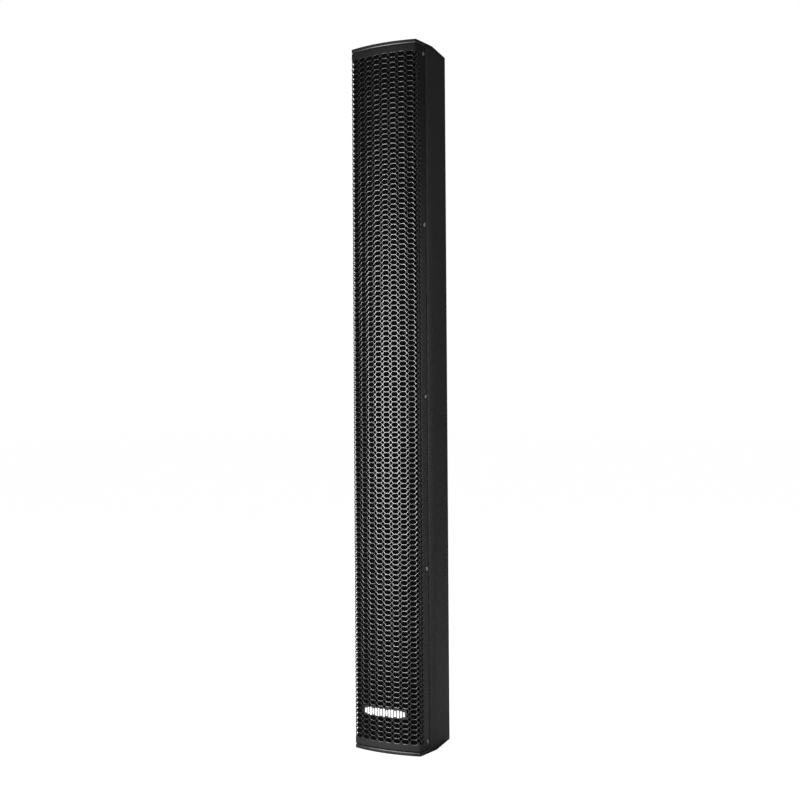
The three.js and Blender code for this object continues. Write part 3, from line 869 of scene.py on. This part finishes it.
def make_basket_mesh():
    """A pressed basket about the driver's mounting plane: a square flange with a windowed bowl behind it."""
    flange = slab(79, 79, 12, -FLANGE_DEPTH / MM, 0)
    round_rims(flange, 0.6 * MM, 2, -FLANGE_DEPTH)
    throat = THROAT / MM
    bowl = turn_profile(in_mm(
        (throat - 0.8, -1.2), (throat + 1.2, -1.2), (throat + 1.2, 5), (29, 24.6), (27.4, 26), (14, 26),
        (14, 24), (26.6, 24), (27.8, 23.4), (throat, 5), (throat - 0.8, 4.2),
    ), 96)
    mesh = carve(mesh_from(flange, "driver_basket"), [mesh_from(bowl)], "UNION")
    tools = [rod_along_y(THROAT, -5 * MM, 4.6 * MM, 0, 0, 96)]
    for i in range(4):
        aim = Matrix.Rotation(pi / 4 + i * pi / 2, 4, "Y") @ Matrix.Translation((0, 14.5 * MM, 0))
        window = moved(slab(26, 13, 3, 20, 44), aim @ Matrix.Rotation(-pi / 2, 4, "X"))
        tools += [mesh_from(window), screw_hole(basket_screw_place(i), TO_REAR)]
    return carve(mesh, tools)


def basket_screw_place(i):
    """Where the face of a mounting screw is, from the middle of the driver's mounting plane."""
    x = BASKET_SCREW if i in (0, 3) else -BASKET_SCREW
    z = BASKET_SCREW if i in (0, 1) else -BASKET_SCREW
    return x, -FLANGE_DEPTH, z


def make_plates_mesh():
    """The motor's steel: front plate, and back plate with its pole piece."""
    front = turn_rounded(in_mm((11.8, 26.3, 0.4), (24, 26.3, 0.8), (24, 30, 0.4), (11.8, 30, 0.2)), 72)
    back = turn_rounded(in_mm(
        (2.5, 24.6, 0.3), (8.2, 24.6, 0.5), (8.2, 39, 1), (25, 40, 0.5),
        (25, 44, 1.2), (5, 44, 0.6), (2.5, 42, 0.3),
    ), 72)
    return mesh_from(merge([front, back]), "driver_plates")


def make_magnet_mesh():
    return mesh_from(turn_rounded(in_mm(
        (16, 30, 0.3), (28, 30, 0.9), (28, 42, 0.9), (25, 42, 0.1), (25, 40, 0.1), (16, 40, 0.3),
    ), 72), "driver_magnet")


def make_cone_mesh():
    """The paper cone with shallow ribs, and the voice coil former on its neck."""
    wall = 0.7 * MM
    neck, mouth = (10.4 * MM, 16.2 * MM), (28.2 * MM, 1.3 * MM)
    front = []
    steps = 26
    for i in range(steps + 1):
        t = i / steps
        rib = 0.22 * MM * sin(t * pi * 10) if 0.2 < t < 0.9 else 0
        radius = neck[0] + (mouth[0] - neck[0]) * t
        sag = 1.1 * MM * sin(pi * t)
        front.append((radius, neck[1] + (mouth[1] - neck[1]) * t - sag + rib))
    back = [(radius, y + wall) for radius, y in reversed(front)]
    former = [(neck[0], 33.6 * MM), (neck[0] - 0.3 * MM, 34 * MM), (9.3 * MM, 34 * MM), (9.3 * MM, neck[1])]
    return mesh_from(turn_profile(front + back + former, 96), "driver_cone", 50)


def make_surround_mesh():
    """A half roll of rubber with a flat lip on each side."""
    wall = 0.45 * MM
    low, high, level = 27.9 * MM, 33.1 * MM, 1.1 * MM
    middle, reach = (low + high) / 2, (high - low) / 2
    arc = [pi * i / 14 for i in range(15)]
    wide, deep, bore = reach + wall, reach + 0.1 * MM, reach - wall
    top = [(middle - wide * cos(a), level - deep * sin(a)) for a in arc]
    under = [(middle + bore * cos(a), level - bore * sin(a)) for a in arc]
    lip, inner, outer = level + wall, 26.9 * MM, 33.9 * MM
    profile = [(inner, level), *top, (outer, level), (outer, lip), (high - wall, lip)]
    profile += [*under, (low + wall, lip), (inner, lip)]
    return mesh_from(turn_profile(profile, 96), "driver_surround", 50)


def make_cap_mesh():
    """A shallow dome over the neck of the cone."""
    radius, rise, wall = 11.3 * MM, 3.6 * MM, 0.5 * MM
    base = 15.2 * MM
    angles = [pi / 2 * i / 12 for i in range(13)]
    dome = [(radius * sin(a), base - rise * cos(a)) for a in angles]
    inside = [(max(0, r - wall * r / radius), y + wall) for r, y in reversed(dome)]
    return mesh_from(turn_profile([*dome, *inside], 72), "driver_cap", 50)


def make_drivers():
    kinds = (
        ("basket", make_basket_mesh(), PRESSED, "basket_steel", "driver_basket"),
        ("plates", make_plates_mesh(), ZINC, "driver_magnet", "driver_motor"),
        ("magnet", make_magnet_mesh(), FERRITE, "driver_magnet", "driver_motor"),
        ("cone", make_cone_mesh(), PAPER, "cone_paper", "driver_cone"),
        ("surround", make_surround_mesh(), RUBBER, "cone_paper", "driver_cone"),
        ("cap", make_cap_mesh(), PAPER, "cone_paper", "driver_cone"),
    )
    for i in range(DRIVERS):
        at, n = driver_place(i), i + 1
        for kind, mesh, material, slot, node in kinds:
            body = f"cone_{n}" if node == "driver_cone" else BODY
            matrix = Matrix.Translation(at)
            make_piece(f"driver_{kind}_{n}", mesh, material, [f"{node}_{n}"], body, matrix)
        for j in range(4):
            place = at + Vector(basket_screw_place(j))
            place_screw(f"driver_screw_{n}_{j + 1}", place, TO_REAR, 0.7 * (4 * i + j))


# ---------------- connector plate

SOCKET_SCREWS = ((9.5 * MM, 12 * MM), (-9.5 * MM, -12 * MM))
RECESS = 10.5 * MM
RECESS_DEPTH = 18 * MM
CONTACT_ANGLES = [pi * (0.25 + i / 2) for i in range(4)]


def socket_places():
    """Each socket's node, with the middle of its face."""
    return [(node, rear_middle(node)) for node in ("input_socket_lower", "input_socket_upper")]


def make_terminal_plate():
    low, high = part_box("terminal_plate")
    bm = thicken_outline(face_outline("terminal_plate", 4 * MM), REAR_Y, high.y)
    round_rims(bm, 0.6 * MM, 3, high.y)
    front, rear = low.y - 2 * OVERCUT, high.y + 2 * OVERCUT
    tools = []
    for _, place in socket_places():
        tools.append(rod_along_y(12.2 * MM, front, rear, place.x, place.z, 72))
        for x, z in SOCKET_SCREWS:
            tools.append(rod_along_y(1.7 * MM, front, rear, place.x + x, place.z + z, 24))
    tools += [screw_hole(rear_middle(node), TO_FRONT) for node in nodes_named("plate_screw_")]
    mesh = carve(mesh_from(bm, "terminal_plate"), tools)
    make_piece("terminal_plate", mesh, PLATE)


def make_socket_mesh():
    """A round locking socket whose face is at y = 0 and which goes in towards -Y."""
    flange = slab(26, 31, 3, -2, 0)
    round_rims(flange, 0.5 * MM, 2, 0)
    rim, floor = RECESS / MM, -RECESS_DEPTH / MM
    body = turn_rounded(in_mm((0, floor - 2.5, 0), (12, floor - 2.5, 0.8), (12, -1, 0), (0, -1, 0)), 72)
    mesh = carve(mesh_from(flange, "socket"), [mesh_from(body)], "UNION")
    recess = turn_rounded(in_mm(
        (0, floor, 0), (rim, floor, 0.5), (rim, -0.6, 0), (rim + 0.9, 0.3, 0), (0, 0.3, 0),
    ), 72)
    tools = [mesh_from(recess)]
    for angle in (0.5, 2.6, 4.4):
        tools.append(mesh_from(turned(slab(2.2, 1.8, 0.3, floor + 6, 1, 0, rim), angle)))
    tools += [screw_hole((x, 0, z), TO_FRONT) for x, z in SOCKET_SCREWS]
    return carve(mesh, tools)


def make_core_mesh():
    """The keyed core in the middle of a socket, slotted for its contacts."""
    floor = -RECESS_DEPTH / MM - 1
    core = turn_rounded(in_mm((2.4, floor, 0), (6.2, floor, 0), (6.2, -1.5, 0.5), (2.4, -1.5, 0.4)), 64)
    tools = []
    for angle in CONTACT_ANGLES:
        tools.append(mesh_from(turned(slab(1.7, 2.4, 0.3, -13, 1, 0, 6.2), angle)))
    return carve(mesh_from(core, "socket_core"), tools)


def make_contacts_mesh():
    """Four sprung contact blades in the slots of the core."""
    outline = in_mm(
        (4.9, -16.5), (5.5, -16.5), (5.5, -9), (6, -6), (5.4, -3.6), (4.9, -3.8), (5.3, -6), (4.9, -9),
    )
    blades = []
    for angle in CONTACT_ANGLES:
        blade = loft([[(x, y, z) for z, y in outline] for x in (0.6 * MM, -0.6 * MM)])
        blades.append(turned(blade, angle))
    return mesh_from(merge(blades), "socket_contacts")


def make_latch_mesh():
    """The thumb latch over the mouth of a socket, with three grip ribs."""
    height = 13.2
    latch = slab(7, 2.8, 0.7, -0.3, 1, 0, height)
    round_rims(latch, 0.3 * MM, 2, 1 * MM)
    tools = [mesh_from(slab(0.7, 1.8, 0.2, 0.7, 2, x, height)) for x in (-1.7, 0, 1.7)]
    return carve(mesh_from(latch, "socket_latch"), tools)


def make_sockets():
    shells = (
        ("socket", make_socket_mesh(), PLASTIC),
        ("socket_core", make_core_mesh(), PLASTIC),
        ("socket_contacts", make_contacts_mesh(), CONTACT),
        ("socket_latch", make_latch_mesh(), CONTACT),
    )
    for node, at in socket_places():
        where = node.removeprefix("input_socket_")
        matrix = Matrix.Translation(at)
        for name, mesh, material in shells:
            make_piece(f"{name}_{where}", mesh, material, [node], matrix=matrix)
        for i, (x, z) in enumerate(SOCKET_SCREWS):
            place = at + Vector((x, 0, z))
            place_screw(f"socket_screw_{where}_{i + 1}", place, TO_FRONT, 0.9 * i + at.z * 40)


def make_insert_mesh():
    """A knurled brass insert with a threaded bore, its face at y = 0 and its body towards -Y."""
    low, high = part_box("bracket_insert_1")
    length = (high.y - low.y) / MM
    bore, outside, knurls = 2.5 * MM, 4.5 * MM, 48
    profile = in_mm(
        (3.2, 0), (4.1, 0), (4.5, -0.4), (4.5, -1.6), (4, -2), (4, -3), (4.5, -3.4),
        (4.5, 0.4 - length), (4.1, -length), (3, -length),
    )
    profile += shaft(bore, (0.6 - length) * MM, -0.8 * MM, 0.25 * MM)
    bm = turn_profile(profile, knurls)
    cut_thread(bm, bore, 1 * MM, -0.5 * MM)
    for vert in bm.verts:
        reach = hypot(vert.co.x, vert.co.z)
        tooth = round(atan2(vert.co.z, vert.co.x) / (2 * pi) * knurls) % 2
        if reach > outside - TOUCH and vert.co.y < -0.2 * MM and tooth:
            vert.co.x *= 0.95
            vert.co.z *= 0.95
    return mesh_from(bm, "bracket_insert")


def make_inserts():
    mesh = make_insert_mesh()
    for node in nodes_named("bracket_insert_"):
        matrix = Matrix.Translation(rear_middle(node))
        make_piece(node, mesh, BRASS, matrix=matrix)


# ---------------- crossover and wadding

def sweep_wire(points, radius):
    """A bmesh of a round wire along a path of points."""
    angles = [2 * pi * k / 10 for k in range(10)]
    across = None
    rings = []
    for i, point in enumerate(points):
        along = (points[min(i + 1, len(points) - 1)] - points[max(i - 1, 0)]).normalized()
        across = along.orthogonal() if across is None else across - along * across.dot(along)
        across.normalize()
        over = along.cross(across)
        rings.append([point + (across * cos(a) + over * sin(a)) * radius for a in angles])
    return loft(rings)


def make_crossover():
    low, high, at = place_of("crossover_board")
    board = thicken_outline(face_outline("crossover_board", 2 * MM), low.y, high.y)
    round_rims(board, 0.2 * MM, 1)
    tools = []
    for x in (-21 * MM, 21 * MM):
        for z in (-38 * MM, 38 * MM):
            tools.append(rod_along_y(1.6 * MM, low.y - OVERCUT, high.y + OVERCUT, x, at.z + z, 24))
    mesh = carve(mesh_from(board, "crossover_board"), tools)
    make_piece("crossover_board", mesh, CIRCUIT)
    make_inductor()
    make_capacitor(low.y)
    make_resistor(low.y)


def make_inductor():
    low, high, at = place_of("crossover_inductor")
    cheek, wire = 1.2 * MM, 0.6 * MM
    inner, outer = 7 * MM, 16 * MM
    start, end = low.y + cheek, high.y - cheek
    turns = int((end - start) / (2 * wire))
    coil = [(inner + 1 * MM, start)]
    for i in range(turns):
        middle = start + (i + 0.5) * (end - start) / turns
        for angle in (-70, -35, 0, 35, 70):
            a = radians(angle)
            coil.append((outer - 1.6 * MM + wire * cos(a), middle + wire * sin(a)))
    coil.append((inner + 1 * MM, end))
    bobbin = turn_rounded([
        (inner, low.y, 0.3 * MM),
        (outer, low.y, 0.4 * MM),
        (outer, start, 0.3 * MM),
        (inner + 1.2 * MM, start, 0),
        (inner + 1.2 * MM, end, 0),
        (outer, end, 0.3 * MM),
        (outer, high.y, 0.4 * MM),
        (inner, high.y, 0.3 * MM),
    ], 72)
    winding = turn_profile(coil, 72)
    parts = (("crossover_winding", winding, COPPER), ("crossover_bobbin", bobbin, PLASTIC))
    for name, bm, material in parts:
        mesh = mesh_from(moved(bm, Matrix.Translation((at.x, 0, at.z))), name)
        make_piece(name, mesh, material, ["crossover_inductor"])


def make_leads(word, board_face, inside):
    """Two tinned leads that start inside a component's ends, bend once and go into the board."""
    node = f"crossover_{word}"
    low, high, at = place_of(node)
    for i, (side, end) in enumerate(((-1, low.x), (1, high.x))):
        out = end + side * 3 * MM
        start = Vector((end - side * inside, at.y, at.z))
        bend = Vector((out, at.y, at.z))
        finish = Vector((out, board_face + 1 * MM, at.z))
        steps = [k / 10 for k in range(11)]
        curve = [start.lerp(bend, t).lerp(bend.lerp(finish, t), t) for t in steps]
        name = f"{word}_lead_{i + 1}"
        make_piece(name, mesh_from(sweep_wire(curve, 0.4 * MM), name), CONTACT, [node])


def make_capacitor(board_face):
    low, high, at = place_of("crossover_capacitor")
    radius, end = 7 * MM, (high.x - low.x) / 2
    can = turn_rounded([
        (0, -end, 0),
        (radius * 0.9, -end, 1.6 * MM),
        (radius, 3 * MM - end, 1.2 * MM),
        (radius, end - 3 * MM, 1.2 * MM),
        (radius * 0.9, end, 1.6 * MM),
        (0, end, 0),
    ], 64)
    lying = Matrix.Translation(at) @ Matrix.Rotation(pi / 2, 4, "Z")
    mesh = mesh_from(moved(can, lying), "crossover_capacitor")
    make_piece("crossover_capacitor", mesh, FILM)
    make_leads("capacitor", board_face, 0.3 * MM)


def make_resistor(board_face):
    node = "crossover_resistor"
    low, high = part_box(node)
    brick = thicken_outline(face_outline(node, 0.8 * MM), low.y, high.y)
    round_rims(brick, 0.5 * MM, 2)
    well = thicken_outline(face_outline(node, 0.8 * MM, 1.5 * MM), low.y - OVERCUT, low.y + 0.5 * MM)
    mesh = carve(mesh_from(brick, node), [mesh_from(well)])
    make_piece(node, mesh, CERAMIC)
    make_leads("resistor", board_face, 0.5 * MM)


def make_wadding():
    """A soft pad on the rear panel, thickest down its middle, with a lumpy surface and ragged ends."""
    low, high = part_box("damping_pad")
    around, rows, end_rows = 56, 200, 7
    half, thick = (high.x - low.x) / 2, high.y - low.y
    rings = []
    for row in range(rows + 1):
        level = low.z + (high.z - low.z) * row / rows
        inward = min(row, rows - row, end_rows)
        fade = sqrt(sin(pi / 2 * inward / end_rows))
        ring = []
        for k in range(around):
            angle = 2 * pi * k / around
            across = copysign(abs(cos(angle)) ** 0.55, cos(angle))
            out = copysign(abs(sin(angle)) ** 0.75, sin(angle))
            lump = 0.82 + 0.16 * noise.noise(Vector((across * 1.6, out, level / (28 * MM))))
            edge = 0.94 + 0.05 * noise.noise(Vector((out, 7.3, level / (18 * MM))))
            x = across * half * edge * (0.75 + 0.25 * fade)
            y = high.y - thick / 2 * (1 - out * (lump if out < 0 else 1) * max(0.12, fade))
            ring.append((x, y, level))
        rings.append(ring)
    mesh = mesh_from(loft(rings), "damping_pad", 80)
    make_piece("damping_pad", mesh, WADDING)


# ---------------- stage

CAMERA_AZIMUTH = 31.78
CAMERA_DISTANCE = 1.870
CAMERA_HEIGHT = 0.4665
CAMERA_HEADING = 31.155
CAMERA_PITCH = 0.739
CAMERA_ROLL = -0.378
CAMERA_LENS = 60.18
SENSOR_WIDTH = 36

# The floor and the studio: light they give back, and what the camera sees of the floor.
FLOOR_BOUNCE = 0.4
FLOOR_GLOW = 0.985
FLOOR_TONE = 0.2
STUDIO_LEVEL = 0.045

# Name, azimuth in degrees, distance, height, width, tall and watts.
LIGHTS = (
    ("key", -22.5, 1.7, 0.48, 1.2, 0.30, 44),
    ("fill", 72, 2.0, 0.5, 2.0, 1.2, 8),
    ("rim", -105, 1.5, 0.5, 0.25, 1.2, 4),
    ("side", 126, 1.9, 0.42, 0.9, 1.2, 5.0),
    ("back", 238, 2.2, 1.3, 1.2, 1.2, 40),
)


def make_camera():
    data = bpy.data.cameras.new("camera")
    data.lens = CAMERA_LENS
    data.sensor_width = SENSOR_WIDTH
    camera = link(bpy.data.objects.new("camera", data))
    azimuth = radians(CAMERA_AZIMUTH)
    place = Vector((
        CAMERA_DISTANCE * sin(azimuth),
        FOLD_Y - CAMERA_DISTANCE * cos(azimuth),
        BASE_Z + CAMERA_HEIGHT,
    ))
    turn = Matrix.Rotation(radians(CAMERA_HEADING), 4, "Z")
    tilt = Matrix.Rotation(radians(90 + CAMERA_PITCH), 4, "X")
    roll = Matrix.Rotation(radians(CAMERA_ROLL), 4, "Z")
    camera.matrix_world = Matrix.Translation(place) @ turn @ tilt @ roll
    bpy.context.scene.camera = camera


def make_light(name, azimuth, distance, height, width, tall, power):
    data = bpy.data.lights.new(name, "AREA")
    data.shape = "RECTANGLE"
    data.size = width
    data.size_y = tall
    data.energy = power
    light = link(bpy.data.objects.new(name, data))
    angle = radians(azimuth)
    middle = Vector((0, 0, (BASE_Z + TOP_Z) / 2))
    light.location = (distance * sin(angle), -distance * cos(angle), height)
    light.rotation_euler = (middle - light.location).to_track_quat("-Z", "Y").to_euler()


def add_camera_split(tree, others, camera, end):
    """Ends a tree in a shader that is one thing to the camera and another to all other rays."""
    path = add_node(tree, "ShaderNodeLightPath")
    either = add_node(tree, "ShaderNodeMixShader")
    join(path, "Is Camera Ray", either, 0)
    join(others, 0, either, 1)
    join(camera, 0, either, 2)
    join(either, 0, tree.nodes[end], "Surface")


def make_floor_material():
    """Pale and matt. The camera sees it almost evenly lit, as on a light table."""
    material = bpy.data.materials.new("floor_white")
    material.use_nodes = True
    tree = material.node_tree
    shader = tree.nodes["Principled BSDF"]
    settle(shader, {"Base Color": colour(FLOOR_BOUNCE), "Roughness": 0.9, "Specular IOR Level": 0.1})
    glow = add_node(tree, "ShaderNodeEmission", Strength=FLOOR_GLOW)
    lit = add_node(tree, "ShaderNodeBsdfDiffuse")
    settle(lit, {"Color": colour(FLOOR_TONE)})
    seen = add_node(tree, "ShaderNodeAddShader")
    join(glow, 0, seen, 0)
    join(lit, 0, seen, 1)
    add_camera_split(tree, shader, seen, "Material Output")
    return material


def make_stage():
    bm = bmesh.new()
    bmesh.ops.create_grid(bm, x_segments=1, y_segments=1, size=30)
    floor = link(bpy.data.objects.new("floor", mesh_from(bm, "floor")))
    floor.location.z = BASE_Z
    floor.data.materials.append(make_floor_material())
    world = bpy.data.worlds.new("studio")
    world.use_nodes = True
    tree = world.node_tree
    background = tree.nodes["Background"]
    settle(background, {"Color": colour(STUDIO_LEVEL)})
    seen = add_node(tree, "ShaderNodeBackground")
    settle(seen, {"Color": colour(1.0)})
    add_camera_split(tree, background, seen, "World Output")
    bpy.context.scene.world = world
    bpy.context.scene.view_settings.view_transform = "Standard"
    for light in LIGHTS:
        make_light(*light)


make_camera()
make_end_panel("bottom_panel", False)
make_end_panel("top_panel", True)
make_side_panel("side_panel_left", -1)
make_side_panel("side_panel_right", 1)
make_rear_panel()
make_front_baffle()
make_grille()
make_grille_foam()
make_badge()
make_screws()
make_drivers()
make_terminal_plate()
make_sockets()
make_inserts()
make_crossover()
make_wadding()
make_stage()
